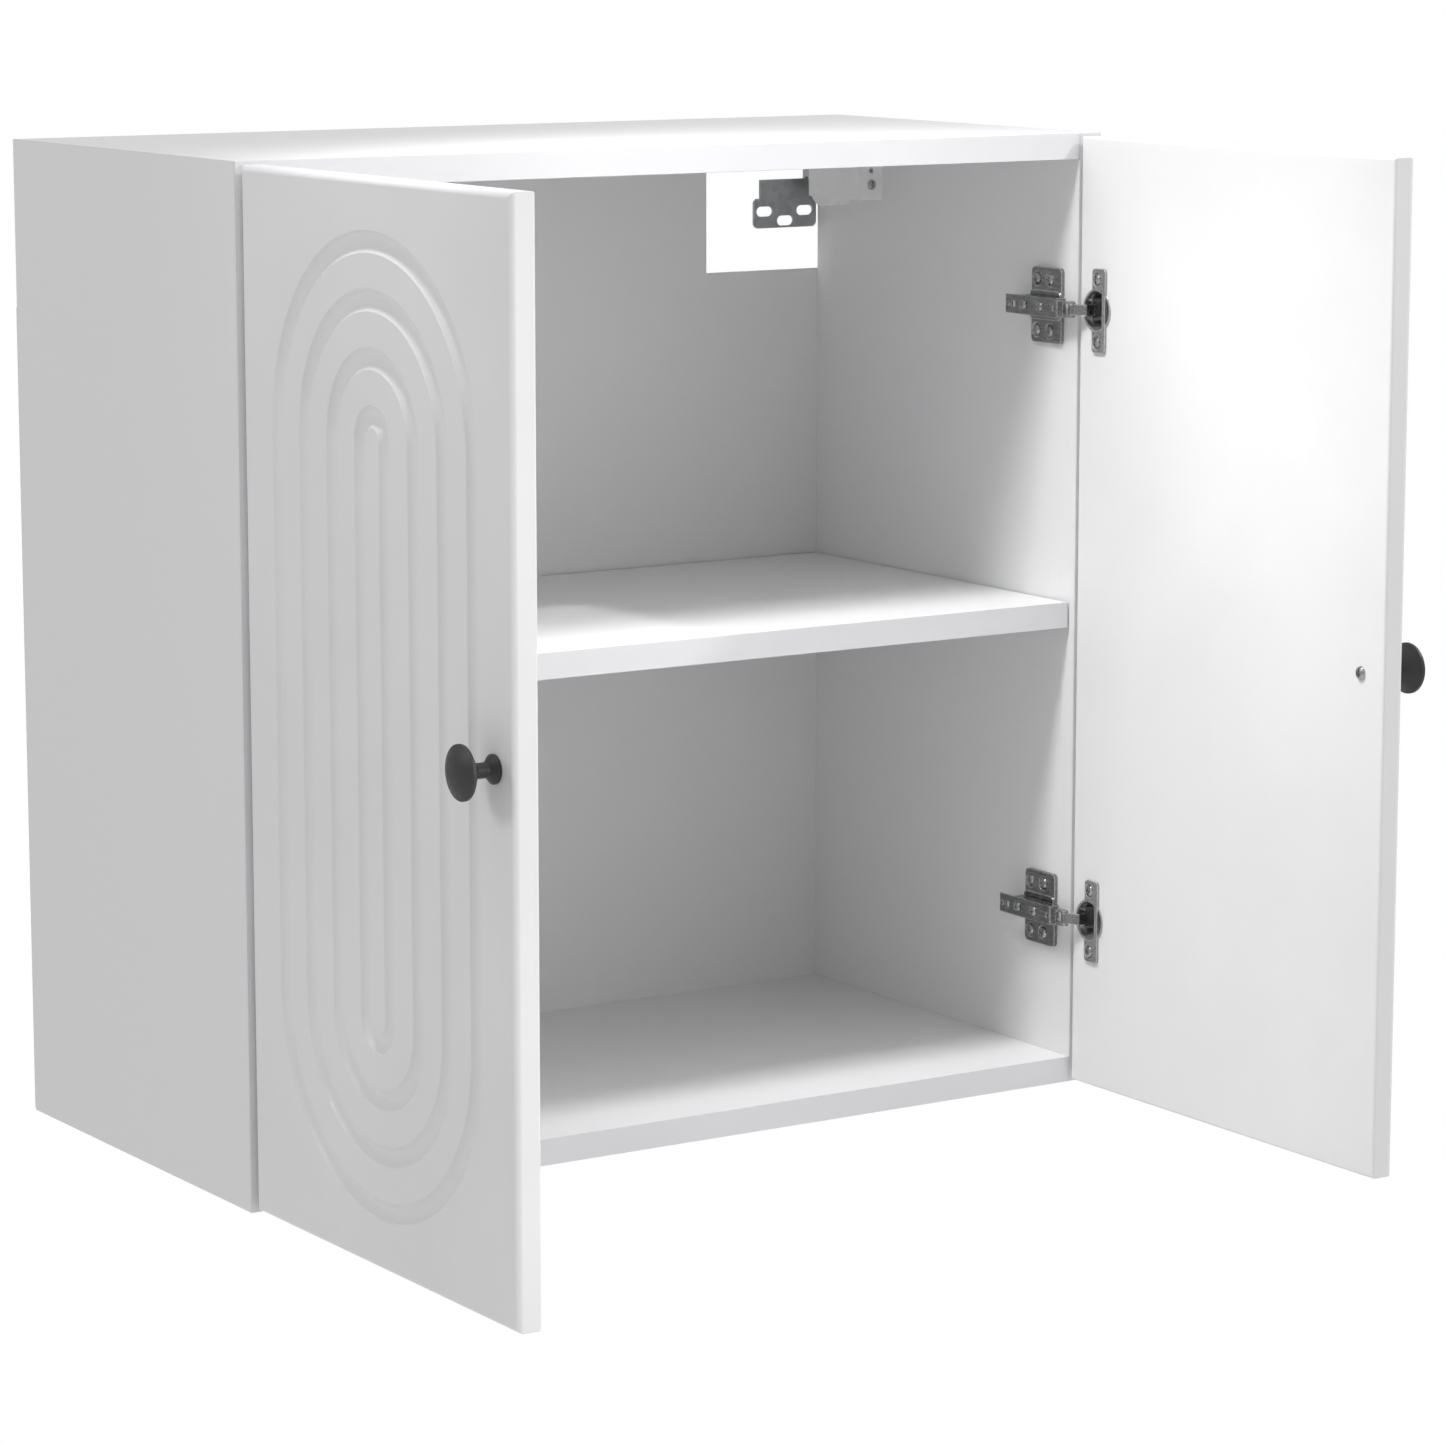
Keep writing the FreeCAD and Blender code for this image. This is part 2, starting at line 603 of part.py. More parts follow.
def hinge_cup(name, level):
    """Pressed cup in the door with its flange and the two lugs that hold the cup pin."""
    centre_y = deep_y("-door_gap - cup_inset")
    face = left_x("door_face")
    barrel = rod(name + "_barrel", AGAINST_X, (face, centre_y, level), "cup_radius", "cup_deep")
    rim = rod(name + "_rim", ALONG_X, (face, centre_y, level), "cup_radius + 0.6", 0.8)
    half_wide = "flange_wide / 2"
    mid_y = "-door_gap - cup_screw_inset"
    flange = eased(box(name + "_flange", (face, left_x("door_face + flange_thick")),
                       (deep_y(f"{mid_y} - {half_wide} - 1.7"), deep_y(f"{mid_y} + {half_wide} - 1.7")),
                       (f"{level} - flange_tall / 2", f"{level} + flange_tall / 2")), "flange_round", "x")
    strip = box(name + "_strip", (face, left_x("door_face + flange_thick")),
                (deep_y(f"{mid_y} - {half_wide} - 1.7"), deep_y("-door_gap - flange_strip")),
                (f"{level} - 14", f"{level} + 14"))
    hollow = rod(name + "_hollow", AGAINST_X, (left_x("door_face + 4"), centre_y, level),
                 "cup_radius - cup_wall", "4 + cup_deep - cup_wall")
    holes = [rod("hole", AGAINST_X, (left_x(20), deep_y(mid_y), f"{level} + {side} * cup_screw_level"),
                 "screw_hole", 30) for side in (-1, 1)]
    seat = left_x("door_face + flange_thick - cup_dish_deep")
    holes += [rod("dish", ALONG_X, (seat, deep_y(mid_y), f"{level} + {side} * cup_screw_level"),
                  "dish_radius", 4) for side in (-1, 1)]
    shell = cut(name + "_shell", fuse(name + "_blank", [barrel, rim, flange]), [hollow] + holes)
    pin_y = deep_y("-door_gap - cup_pin_inset")
    pin_x = "door_face - cup_pin_deep"
    lugs = []
    for side in (-1, 1):
        reach = (left_x("door_face - cup_deep + cup_wall / 2"), left_x(f"{pin_x} + 2.2"))
        middle = f"{level} + {side} * 5.8"
        lugs.append(box(name + "_lug", reach, (f"({pin_y}) - 2.2", f"({pin_y}) + 2.2"),
                        (f"{middle} - 0.8", f"{middle} + 0.8")))
    trimmed = doc.addObject("Part::Common", name + "_lugs")
    trimmed.Base = fuse(name + "_lug_pair", lugs)
    trimmed.Tool = rod(name + "_lug_room", AGAINST_X, (left_x("door_face + 4"), centre_y, level),
                       "cup_radius - cup_wall / 2", "4 + cup_deep - cup_wall / 2")
    bore = rod("pin_bore", ALONG_Z, (left_x(pin_x), pin_y, f"{level} - 10"), "hinge_pin_radius", 20)
    return cut(name, fuse(name + "_pressed", [shell, trimmed, strip]), [bore])


def hinge_sets():
    """All hinge pieces of the left side and their right-hand twins."""
    plate_screws = []
    arm_screws = []
    cup_screws = []
    arm_pins = []
    cup_pins = []
    for place, level in HINGES.items():
        both_sides(mounting_plate(f"left_{place}_hinge_plate", level))
        both_sides(hinge_arm(f"left_{place}_hinge_arm", level))
        both_sides(hinge_link(f"left_{place}_hinge_link", level))
        both_sides(hinge_cup(f"left_{place}_hinge_cup", level))
        for row, side in PLATE_SCREWS:
            plate_screws.append(copy_of(plate_screw, "plate_screw_copy", ALONG_X, (
                left_x("plate_thick - dish_deep"), deep_y(row),
                f"{level} + {side} * plate_screw_level")))
        for row in ("plate_front + 8", "plate_front + 25"):
            arm_screws.append(copy_of(arm_screw, "arm_screw_copy", ALONG_X, (
                left_x("arm_top"), deep_y(row), level)))
        for side in (-1, 1):
            cup_screws.append(copy_of(cup_screw, "cup_screw_copy", ALONG_X, (
                left_x("door_face + flange_thick - cup_dish_deep"), deep_y("-door_gap - cup_screw_inset"),
                f"{level} + {side} * cup_screw_level")))
        arm_pins.append(rod("arm_pin", ALONG_Z, (left_x("arm_pin_out"), deep_y("-arm_pin_ahead"),
                                                 f"{level} - nose_half - 0.5"),
                            "hinge_pin_radius", "2 * nose_half + 1"))
        cup_pins.append(rod("cup_pin", ALONG_Z, (left_x("door_face - cup_pin_deep"),
                                                 deep_y("-door_gap - cup_pin_inset"), f"{level} - 6.8"),
                            "hinge_pin_radius", 13.6))
    both_sides(group("left_hinge_plate_screws", plate_screws))
    both_sides(group("left_hinge_arm_screws", arm_screws))
    both_sides(group("left_hinge_cup_screws", cup_screws))
    both_sides(group("left_hinge_arm_pins", arm_pins))
    both_sides(group("left_hinge_cup_pins", cup_pins))


# ---- doors -----------------------------------------------------------------------------------
def door_blank():
    """Rounded door board standing open, outer face to the left."""
    wide, tall, thick = SIZES["door_wide"], SIZES["door_tall"], SIZES["door_thick"]
    body = plate_body("door_blank", "YZ_Plane", [(0, -tall / 2), (-wide, -tall / 2), (-wide, tall / 2),
                                                 (0, tall / 2)], "door_thick")
    soften(body, "outer_rounding", "door_round",
           lambda edge: all(abs(corner.X) < 1e-6 for corner in edge.Vertexes))
    soften(body, "inner_rounding", "door_soft",
           lambda edge: all(abs(corner.X - thick) < 1e-6 for corner in edge.Vertexes))
    return put(body, left_x("door_face - door_thick"), deep_y("-door_gap"), 0)


def flute_tools():
    """Cove cutters of the four concentric racetrack flutes on the outer face."""
    tools = []
    wide, sunk = SIZES["flute_wide"], SIZES["flute_deep"]
    cove = (wide * wide / 4 + sunk * sunk) / (2 * sunk)
    x = left_x(f"door_face - door_thick - {cove - sunk}")
    middle = "-door_gap - door_wide / 2"
    for turn in range(4):
        track = f"(flute_first + {turn} * flute_pitch)"
        for side in (-1, 1):
            run_y = deep_y(f"{middle} + {side} * {track}")
            tools.append(rod("flute_run", ALONG_Z, (x, run_y, "-flute_half"), cove, "2 * flute_half"))
            bend = doc.addObject("Part::Torus", "flute_bend")
            bind(bend, Radius1=track, Radius2=cove)
            bend.Angle3 = 180.0
            upright = Rotation(Vector(0, 1, 0), Vector(0, 0, 1), Vector(1, 0, 0), "XYZ")
            flip = Rotation(Vector(1, 0, 0), 180 if side < 0 else 0)
            put(bend, x, deep_y(middle), f"{side} * flute_half", flip.multiply(upright))
            tools.append(bend)
    return tools


def door_panel():
    """Door board with flutes, hinge cup bores and the knob bore."""
    tools = flute_tools()
    for level in HINGES.values():
        cup_mouth = (left_x("door_face + 1"), deep_y("-door_gap - cup_inset"), level)
        tools.append(rod("cup_bore", AGAINST_X, cup_mouth, "cup_radius", "cup_deep + 1"))
        for side in (-1, 1):
            tools.append(rod("pilot", AGAINST_X, (
                left_x("door_face + 1"), deep_y("-door_gap - cup_screw_inset"),
                f"{level} + {side} * cup_screw_level"), "screw_hole", 11))
    tools.append(rod("knob_hole", AGAINST_X, (left_x(3), deep_y("knob_inset - door_gap - door_wide"), 0),
                     "knob_bore", 30))
    return cut("left_door_panel", door_blank(), tools)


def knob():
    """Mushroom knob turned about its axis, with a blind bore for its screw."""
    shape = doc.addObject("PartDesign::Body", "knob_turned")
    drawing = sketch(shape, "XZ_Plane", "knob_profile")
    foot, neck, rim, top = 8.0, 4.2, 15.0, 25.0
    points = [(1.9, 0.0), (foot, 0.0), (foot, 1.4), (neck, 5.0), (neck, 12.0), (rim, 19.0), (rim, 20.8)]
    ends = [Vector(u, v, 0) for u, v in points]
    for start, end in zip(ends, ends[1:]):
        drawing.addGeometry(Part.LineSegment(start, end), False)
    crown = Vector(0, top, 0)
    shoulder = Vector(9.0, top - 1.4, 0)
    drawing.addGeometry(Part.Arc(ends[-1], shoulder, crown), False)
    drawing.addGeometry(Part.LineSegment(crown, Vector(0, 13.0, 0)), False)
    drawing.addGeometry(Part.LineSegment(Vector(0, 13.0, 0), Vector(1.9, 12.0, 0)), False)
    drawing.addGeometry(Part.LineSegment(Vector(1.9, 12.0, 0), ends[0]), False)
    doc.recompute()
    lathe = shape.newObject("PartDesign::Revolution", "knob_turning")
    lathe.Profile = drawing
    lathe.ReferenceAxis = (drawing, ["V_Axis"])
    lathe.Angle = 360.0
    shape.Tip = lathe
    doc.recompute()
    soften(shape, "knob_softening", 0.5, lambda edge: edge.Length > 50 and edge.BoundBox.ZMax > 18)
    return group("left_knob", [copy_of(shape, "knob_copy", AGAINST_X, (
        left_x("door_face - door_thick"), deep_y("knob_inset - door_gap - door_wide"), 0))])


# ---- hangers and wall plates -----------------------------------------------------------------
def hanger_housing():
    """Moulded housing under the top board, open to the rear for the hook."""
    low, top = "hanger_low", INNER_TOP
    shell = eased(box("housing_shell", (left_x(0), left_x("hanger_wide")),
                      (deep_y("hanger_front"), deep_y("hanger_back")), (low, top)), "hanger_round", "x")
    bump = rod("housing_bump", ALONG_X, (left_x(0), deep_y("hanger_back - 15.5"), "hanger_low + 9"),
               "bump_radius", "hanger_wide")
    pegs = [rod("housing_peg", AGAINST_X, (left_x(1), deep_y(back), "hanger_low + 20"), "peg_radius", 11.5)
            for back in HANGER_PEGS]
    room = box("hook_room", (left_x("hook_out - 3"), left_x("hook_out + hook_thick + 3")),
               (deep_y("hanger_front + 14"), deep_y("hanger_back + 1")), ("hanger_low + 3", f"{top} - 2.5"))
    front = left_x("hanger_wide / 2")
    screw_way = rod("depth_bore", ALONG_Y, (front, deep_y("hanger_front - 1"), "hanger_low + 10"), 2.2, 12)
    upper_way = rod("height_bore", ALONG_Y, (front, deep_y("hanger_front - 1"), "hanger_low + 19"), 1.7, 12)
    notch = box("top_notch", (left_x("hanger_wide - 3"), left_x("hanger_wide + 1")),
                (deep_y("hanger_front + 8"), deep_y("hanger_front + 12")), (f"{top} - 9", f"{top} + 1"))
    blank = fuse("housing_blank", [shell, bump] + pegs)
    return cut("left_hanger_housing", blank, [room, screw_way, upper_way, notch])


def hanger_hook():
    """Steel hook that reaches through the cut-out and drops behind the wall plate's lip."""
    start = SIZES["hanger_front"] + 16
    lip_top = SIZES["rail_top"]
    rear = SIZES["depth"] - 0.6
    tip = rear - 2.4
    outline_points = [(start, 252.0), (start + 42, 252.0), (start + 46, lip_top + 1), (tip, lip_top + 1),
                      (tip, 249.5), (rear, 249.5), (rear, 268.0), (rear - 4, 272.0), (start, 272.0)]
    body = plate_body("left_hanger_hook", "YZ_Plane", outline_points, "hook_thick")
    return put(body, left_x("hook_out"), deep_y(0), 0)


def wall_plate():
    """Pressed wall plate: slotted foot on the wall, a ledge, and a lip that stands off the wall."""
    wall = ("-rail_sheet", 0)
    foot = eased(box("plate_foot", (left_x(0.4), left_x("rail_wide")), wall, ("rail_low", "rail_ledge")),
                 "rail_round", "y")
    ledge = box("plate_ledge", (left_x(1.4), left_x("rail_wide - 2")), ("-rail_stand - rail_sheet", 0),
                ("rail_ledge - rail_sheet", "rail_ledge"))
    lip = box("plate_lip", (left_x(1.4), left_x("rail_wide - 2")),
              ("-rail_stand - rail_sheet", "-rail_stand"), ("rail_ledge - rail_sheet", "rail_top"))
    slots = []
    for inward, level in ((9.6, 237.4), (41.4, 237.4), (25.1, 231.0)):
        reach = "(rail_slot_long / 2 - rail_slot_half)"
        slots.append(box("slot_mid", (left_x(f"{inward} - {reach}"), left_x(f"{inward} + {reach}")), (-8, 2),
                         (f"{level} - rail_slot_half", f"{level} + rail_slot_half")))
        for side in (-1, 1):
            slots.append(rod("slot_end", ALONG_Y, (left_x(f"{inward} + {side} * {reach}"), -8, level),
                             "rail_slot_half", 10))
    return cut("left_wall_plate", fuse("wall_plate_blank", [foot, ledge, lip]), slots)


# ---- assembly --------------------------------------------------------------------------------
both_sides(side_panel())
node(level_panel("top_panel", INNER_TOP, TOP_NAILS))
node(level_panel("bottom_panel", "-height / 2", BOTTOM_NAILS))
node(back_panel())
node(group("back_panel_nails", [copy_of(nail, "nail_copy", ALONG_Y, (x, "-nail_head", z))
                                for x, z in back_nail_points()]))
node(edge_bands())
joint_fittings()
node(shelf_panel())
half_shelf = "(width / 2 - board - shelf_end_gap)"
node(box("shelf_edge_band", (f"-{half_shelf}", half_shelf),
         (deep_y("shelf_inset"), deep_y("shelf_inset + edge_band")), ("shelf_top - board", "shelf_top")))
node(shelf_pins())
hinge_sets()
both_sides(door_panel())
both_sides(knob())
both_sides(group("left_knob_screw", [copy_of(knob_screw, "knob_screw_copy", ALONG_X, (
    left_x("door_face"), deep_y("knob_inset - door_gap - door_wide"), 0))]))
both_sides(hanger_housing())
both_sides(hanger_hook())
both_sides(group("left_hanger_screw", [copy_of(hanger_screw, "hanger_screw_copy", AGAINST_Y, (
    left_x("hanger_wide / 2"), deep_y("hanger_front"), "hanger_low + 10"))]))
both_sides(wall_plate())

# ---- check and write -------------------------------------------------------------------------
doc.recompute()
bad = [thing.Label for thing in doc.Objects if {"Invalid", "Error"} & set(thing.State)]
assert not bad, bad
os.makedirs("parts", exist_ok=True)
for thing in NODES:
    shape = Part.getShape(thing)
    assert not shape.isNull() and shape.isValid(), thing.Label
    shape.exportStep(f"parts/{thing.Label}.step")
print(len(NODES), "sub-parts written")
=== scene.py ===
import json
import math

import bpy
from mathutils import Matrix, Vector


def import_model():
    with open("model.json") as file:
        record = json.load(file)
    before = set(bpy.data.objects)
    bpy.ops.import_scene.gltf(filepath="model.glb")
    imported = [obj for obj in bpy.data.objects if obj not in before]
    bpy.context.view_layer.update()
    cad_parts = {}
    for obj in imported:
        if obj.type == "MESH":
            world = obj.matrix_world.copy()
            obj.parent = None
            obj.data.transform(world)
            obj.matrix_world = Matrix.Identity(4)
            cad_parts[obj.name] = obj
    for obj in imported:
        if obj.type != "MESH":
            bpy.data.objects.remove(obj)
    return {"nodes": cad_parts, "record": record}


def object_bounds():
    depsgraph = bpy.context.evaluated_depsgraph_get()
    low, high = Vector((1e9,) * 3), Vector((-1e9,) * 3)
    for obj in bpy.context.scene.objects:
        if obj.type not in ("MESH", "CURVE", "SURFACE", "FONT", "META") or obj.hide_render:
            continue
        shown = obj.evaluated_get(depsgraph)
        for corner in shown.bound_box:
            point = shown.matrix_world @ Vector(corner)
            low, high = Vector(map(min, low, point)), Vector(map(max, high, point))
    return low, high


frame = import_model()
CAD_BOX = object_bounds()
LOW = Vector(CAD_BOX[0])
EVEN = (1.0, 1.0, 1.0)
WHITE_LIGHT = (1, 1, 1, 1)
BEVEL_SAMPLES = 6


# ---- node helpers ----------------------------------------------------------------------------
class Finish:
    """A material under construction: nodes are added and linked by short calls."""

    def __init__(self, name, color, roughness, metallic=0.0):
        self.material = bpy.data.materials.new(name)
        self.material.use_nodes = True
        self.tree = self.material.node_tree
        self.shader = next(n for n in self.tree.nodes if n.type == "BSDF_PRINCIPLED")
        self.shader.inputs["Base Color"].default_value = (*color, 1.0)
        self.shader.inputs["Roughness"].default_value = roughness
        self.shader.inputs["Metallic"].default_value = metallic
        self.place = self.add("TexCoord").outputs["Object"]
        self.normal = None

    def add(self, kind, **settings):
        node = self.tree.nodes.new("ShaderNode" + kind)
        for key, value in settings.items():
            setattr(node, key, value)
        return node

    def link(self, out, into):
        self.tree.links.new(out, into)

    def noise(self, scale, detail, stretch=EVEN):
        """Noise in object space; scale is in features per metre."""
        mapping = self.add("Mapping")
        mapping.inputs["Scale"].default_value = stretch
        self.link(self.place, mapping.inputs["Vector"])
        noise = self.add("TexNoise")
        noise.inputs["Scale"].default_value = scale
        noise.inputs["Detail"].default_value = detail
        noise.inputs["Roughness"].default_value = 0.5
        self.link(mapping.outputs["Vector"], noise.inputs["Vector"])
        return noise.outputs["Fac"]

    def cells(self, scale):
        """Chips or crystals in object space: each one's own shade, and the distance from its middle."""
        cells = self.add("TexVoronoi")
        cells.inputs["Scale"].default_value = scale
        self.link(self.place, cells.inputs["Vector"])
        shade = self.add("SeparateXYZ")
        self.link(cells.outputs["Color"], shade.inputs["Vector"])
        return shade.outputs["X"], cells.outputs["Distance"]

    def spread(self, value, low, high, to_low=0.0, to_high=1.0):
        """Map a value from one range to another."""
        remap = self.add("MapRange")
        remap.clamp = True
        for key, number in (("From Min", low), ("From Max", high), ("To Min", to_low), ("To Max", to_high)):
            remap.inputs[key].default_value = number
        self.link(value, remap.inputs["Value"])
        return remap.outputs["Result"]

    def blend(self, fac, first, second):
        """Mix two colours, each a tuple or a socket, by a factor socket."""
        mix = self.add("Mix", data_type="RGBA")
        self.link(fac, mix.inputs["Factor"])
        for socket, colour in ((mix.inputs[6], first), (mix.inputs[7], second)):
            if isinstance(colour, tuple):
                socket.default_value = (*colour, 1.0)
            else:
                self.link(colour, socket)
        return mix.outputs[2]

    def base(self, colour):
        self.link(colour, self.shader.inputs["Base Color"])

    def rough(self, value, low, high):
        self.link(self.spread(value, 0.3, 0.7, low, high), self.shader.inputs["Roughness"])

    def bump(self, height, distance, strength):
        """Add a bump on top of the earlier ones; distance is in metres."""
        bump = self.add("Bump")
        bump.inputs["Strength"].default_value = strength
        bump.inputs["Distance"].default_value = distance
        self.link(height, bump.inputs["Height"])
        if self.normal is not None:
            self.link(self.normal, bump.inputs["Normal"])
        self.normal = bump.outputs["Normal"]
        self.link(self.normal, self.shader.inputs["Normal"])

    def rounded(self, radius):
        """The surface's direction as if its sharp edges were rounded."""
        bevel = self.add("Bevel", samples=BEVEL_SAMPLES)
        bevel.inputs["Radius"].default_value = radius
        return bevel.outputs["Normal"]

    def ease(self, radius):
        """Catch light along sharp edges as a small rounding would."""
        self.normal = self.rounded(radius)
        self.link(self.normal, self.shader.inputs["Normal"])

    def painted_edge_highlight(self, radius, strength):
        """A factor that rises along sharp edges, where highlights are painted into the colour."""
        geometry = self.add("NewGeometry")
        dot = self.add("VectorMath", operation="DOT_PRODUCT")
        self.link(self.rounded(radius), dot.inputs[0])
        self.link(geometry.outputs["Normal"], dot.inputs[1])
        return self.spread(dot.outputs["Value"], 0.97, 0.75, 0.0, strength)


# ---- boards ----------------------------------------------------------------------------------
def boards(name, white, roughness, grain=0.00003):
    """Melamine or foil: satin white with faint mottle, pearl texture and eased edges."""
    finish = Finish(name, white, roughness)
    darker = tuple(channel * 0.965 for channel in white)
    mottle = finish.spread(finish.noise(scale=9.0, detail=3.0), 0.35, 0.65)
    finish.base(finish.blend(mottle, white, darker))
    finish.rough(finish.noise(scale=160.0, detail=2.0), roughness - 0.05, roughness + 0.07)
    finish.ease(0.0006)
    finish.bump(finish.noise(scale=1400.0, detail=2.0), grain, 0.35)
    finish.shader.inputs["Specular IOR Level"].default_value = 0.45
    return finish


def raw_rear(finish, white, light, dark, chips, depth):
    """Leave the surface that faces the wall uncoated: bare chips or fibres instead of white."""
    geometry = finish.add("NewGeometry")
    facing = finish.add("SeparateXYZ")
    finish.link(geometry.outputs["Normal"], facing.inputs["Vector"])
    bare = finish.spread(facing.outputs["Y"], 0.7, 0.75)
    shade, distance = finish.cells(chips)
    finish.base(finish.blend(bare, white, finish.blend(shade, light, dark)))
    pits = finish.add("Math", operation="MULTIPLY")
    finish.link(bare, pits.inputs[0])
    finish.link(distance, pits.inputs[1])
    finish.bump(pits.outputs["Value"], depth, 0.8)


def carcass_board():
    """Melamine-faced chipboard, bare on the edges against the wall."""
    white = (0.80, 0.80, 0.805)
    finish = boards("white_board", white, 0.42)
    raw_rear(finish, white, light=(0.56, 0.42, 0.27), dark=(0.30, 0.20, 0.11), chips=620.0, depth=0.0005)
    return finish.material


def back_board():
    """Thin hardboard, white inside and brown outside."""
    white = (0.79, 0.79, 0.79)
    finish = boards("back_sheet", white, 0.48)
    raw_rear(finish, white, light=(0.33, 0.21, 0.12), dark=(0.22, 0.13, 0.07), chips=1500.0, depth=0.0002)
    return finish.material


# ---- mouldings and wood ----------------------------------------------------------------------
def knob_black():
    """Matt black moulding with a fine leathery texture and a painted highlight along its rim."""
    black = (0.030, 0.031, 0.0305)
    dust = (0.043, 0.044, 0.043)
    rim_highlight = (0.075, 0.076, 0.075)
    finish = Finish("black_knob", black, 0.46)
    patches = finish.spread(finish.noise(scale=55.0, detail=4.0), 0.4, 0.7, 0.0, 0.5)
    # The lighter tone along the rim is a painted highlight, laid over random dusty patches.
    finish.base(finish.blend(finish.painted_edge_highlight(0.0012, 0.6), finish.blend(patches, black, dust), rim_highlight))
    finish.rough(finish.noise(scale=240.0, detail=3.0), 0.40, 0.55)
    finish.ease(0.0004)
    finish.bump(finish.noise(scale=1700.0, detail=3.0), 0.00008, 0.6)
    return finish.material


def beech_wood():
    """Straight-grained beech, its fibres along X."""
    early = (0.62, 0.43, 0.26)
    late = (0.43, 0.27, 0.14)
    finish = Finish("beech", (0.55, 0.36, 0.20), 0.55)
    grain = finish.noise(scale=420.0, detail=6.0, stretch=(0.06, 1.0, 1.0))
    finish.base(finish.blend(finish.spread(grain, 0.3, 0.7), early, late))
    finish.rough(grain, 0.5, 0.65)
    finish.bump(grain, 0.0001, 0.5)
    return finish.material


def moulded_white():
    """Moulded white nylon: satin, finely eroded, its edges catching light."""
    white = (0.90, 0.90, 0.89)
    cloudy = (0.86, 0.86, 0.845)
    finish = Finish("white_plastic", white, 0.38)
    clouds = finish.spread(finish.noise(scale=60.0, detail=3.0), 0.3, 0.7)
    finish.base(finish.blend(clouds, white, cloudy))
    finish.rough(finish.noise(scale=300.0, detail=2.0), 0.33, 0.46)
    finish.ease(0.0005)
    finish.bump(finish.noise(scale=2600.0, detail=2.0), 0.00004, 0.5)
    return finish.material


# ---- metals ----------------------------------------------------------------------------------
def bare_metal(name, tone, roughness, grain, stretch=EVEN):
    """Metal in one tone, with fine working marks and eased edges."""
    finish = Finish(name, tone, roughness, metallic=1.0)
    marks = finish.noise(scale=900.0, detail=5.0, stretch=stretch)
    finish.rough(marks, roughness - 0.06, roughness + 0.1)
    finish.ease(0.0004)
    finish.bump(marks, grain, 0.5)
    return finish


def metal(name, tone, dull, bright, roughness, grain, stretch=EVEN, edge=0.0004):
    """Plated or cast metal: clouded tone and painted highlights along its edges, over the working marks."""
    finish = bare_metal(name, tone, roughness, grain, stretch)
    clouds = finish.spread(finish.noise(scale=130.0, detail=4.0), 0.3, 0.7)
    # The bright tone along the edges is a painted highlight.
    finish.base(finish.blend(finish.painted_edge_highlight(edge, 0.85), finish.blend(clouds, tone, dull), bright))
    return finish


def lightened_cup_metal():
    """Thin pressed steel of the hinge cups: a lighter, half-metallic copy of the nickel plating that lifts
    the shade inside each cup, with painted highlights along its edges.
    """
    finish = metal("lightened_cup_steel", tone=(0.36, 0.36, 0.36), dull=(0.28, 0.28, 0.28), bright=(0.90, 0.90, 0.90),
                   roughness=0.30, grain=0.00002, edge=0.0012)
    finish.shader.inputs["Metallic"].default_value = 0.55
    return finish.material


def galvanised():
    """Zinc-dipped sheet with soft spangles and painted highlights along its edges."""
    zinc = (0.50, 0.51, 0.52)
    dark_zinc = (0.36, 0.37, 0.385)
    zinc_edge_highlight = (0.72, 0.73, 0.74)
    finish = bare_metal("galvanised_steel", zinc, 0.42, 0.00003)
    shade = finish.cells(210.0)[0]
    spangle = finish.spread(shade, 0.0, 1.0, 0.0, 0.6)
    # The lighter zinc along the edges is a painted highlight.
    finish.base(finish.blend(finish.painted_edge_highlight(0.0004, 0.8), finish.blend(spangle, zinc, dark_zinc), zinc_edge_highlight))
    return finish.material


def nickel():
    """Nickel plating with its marks drawn out along Y, and painted highlights along its edges."""
    return metal("nickel_plate", tone=(0.31, 0.315, 0.31), dull=(0.24, 0.245, 0.24),
                 bright=(0.90, 0.90, 0.90), roughness=0.26, grain=0.00002, stretch=(1.0, 0.15, 1.0),
                 edge=0.0013).material


def screw_metal():
    """Bright, smooth steel, with painted highlights along its edges."""
    return metal("screw_steel", tone=(0.48, 0.48, 0.48), dull=(0.34, 0.34, 0.34), bright=(0.85, 0.85, 0.85),
                 roughness=0.22, grain=0.00002).material


def cast_zinc():
    """Grey zinc casting with a coarser skin and painted highlights along its edges."""
    return metal("zinc_casting", tone=(0.47, 0.475, 0.48), dull=(0.39, 0.39, 0.40), bright=(0.62, 0.62, 0.63),
                 roughness=0.48, grain=0.00008).material


def make_materials():
    """One material for each slot of the record."""
    return {
        "white_board": carcass_board(),
        "back_sheet": back_board(),
        "door_foil": boards("door_foil", (0.82, 0.82, 0.82), 0.36, 0.00001).material,
        "edge_band": boards("edge_band", (0.78, 0.78, 0.80), 0.40, 0.00001).material,
        "black_knob": knob_black(),
        "beech": beech_wood(),
        "white_plastic": moulded_white(),
        "galvanised_steel": galvanised(),
        "nickel_plate": nickel(),
        "screw_steel": screw_metal(),
        "zinc_casting": cast_zinc(),
    }


MATERIALS = make_materials()
LIGHTENED_CUP_METAL = lightened_cup_metal()
SLOT_OF = {row["node"]: row["material_slot"] for row in frame["record"]["subparts"]}
for name, obj in frame["nodes"].items():
    for slot in obj.material_slots:
        # The hinge cups take the lightened copy of the plating, which lifts the shade inside them.
        slot.material = LIGHTENED_CUP_METAL if name.endswith("hinge_cup") else MATERIALS[SLOT_OF[name]]

# ---- stage, camera and light -----------------------------------------------------------------
AZIMUTH = math.radians(-32.905)
PITCH = math.radians(9.615)
EYE = Vector((-1.5617, -2.7386, 0.4493))
LENS = 122.82
SENSOR = 36.0
FLOOR_SIZE = 24.0
FLOOR_DROP = 0.7
FLOOR_GLOW = 0.1
WORLD_FILL = 0.44


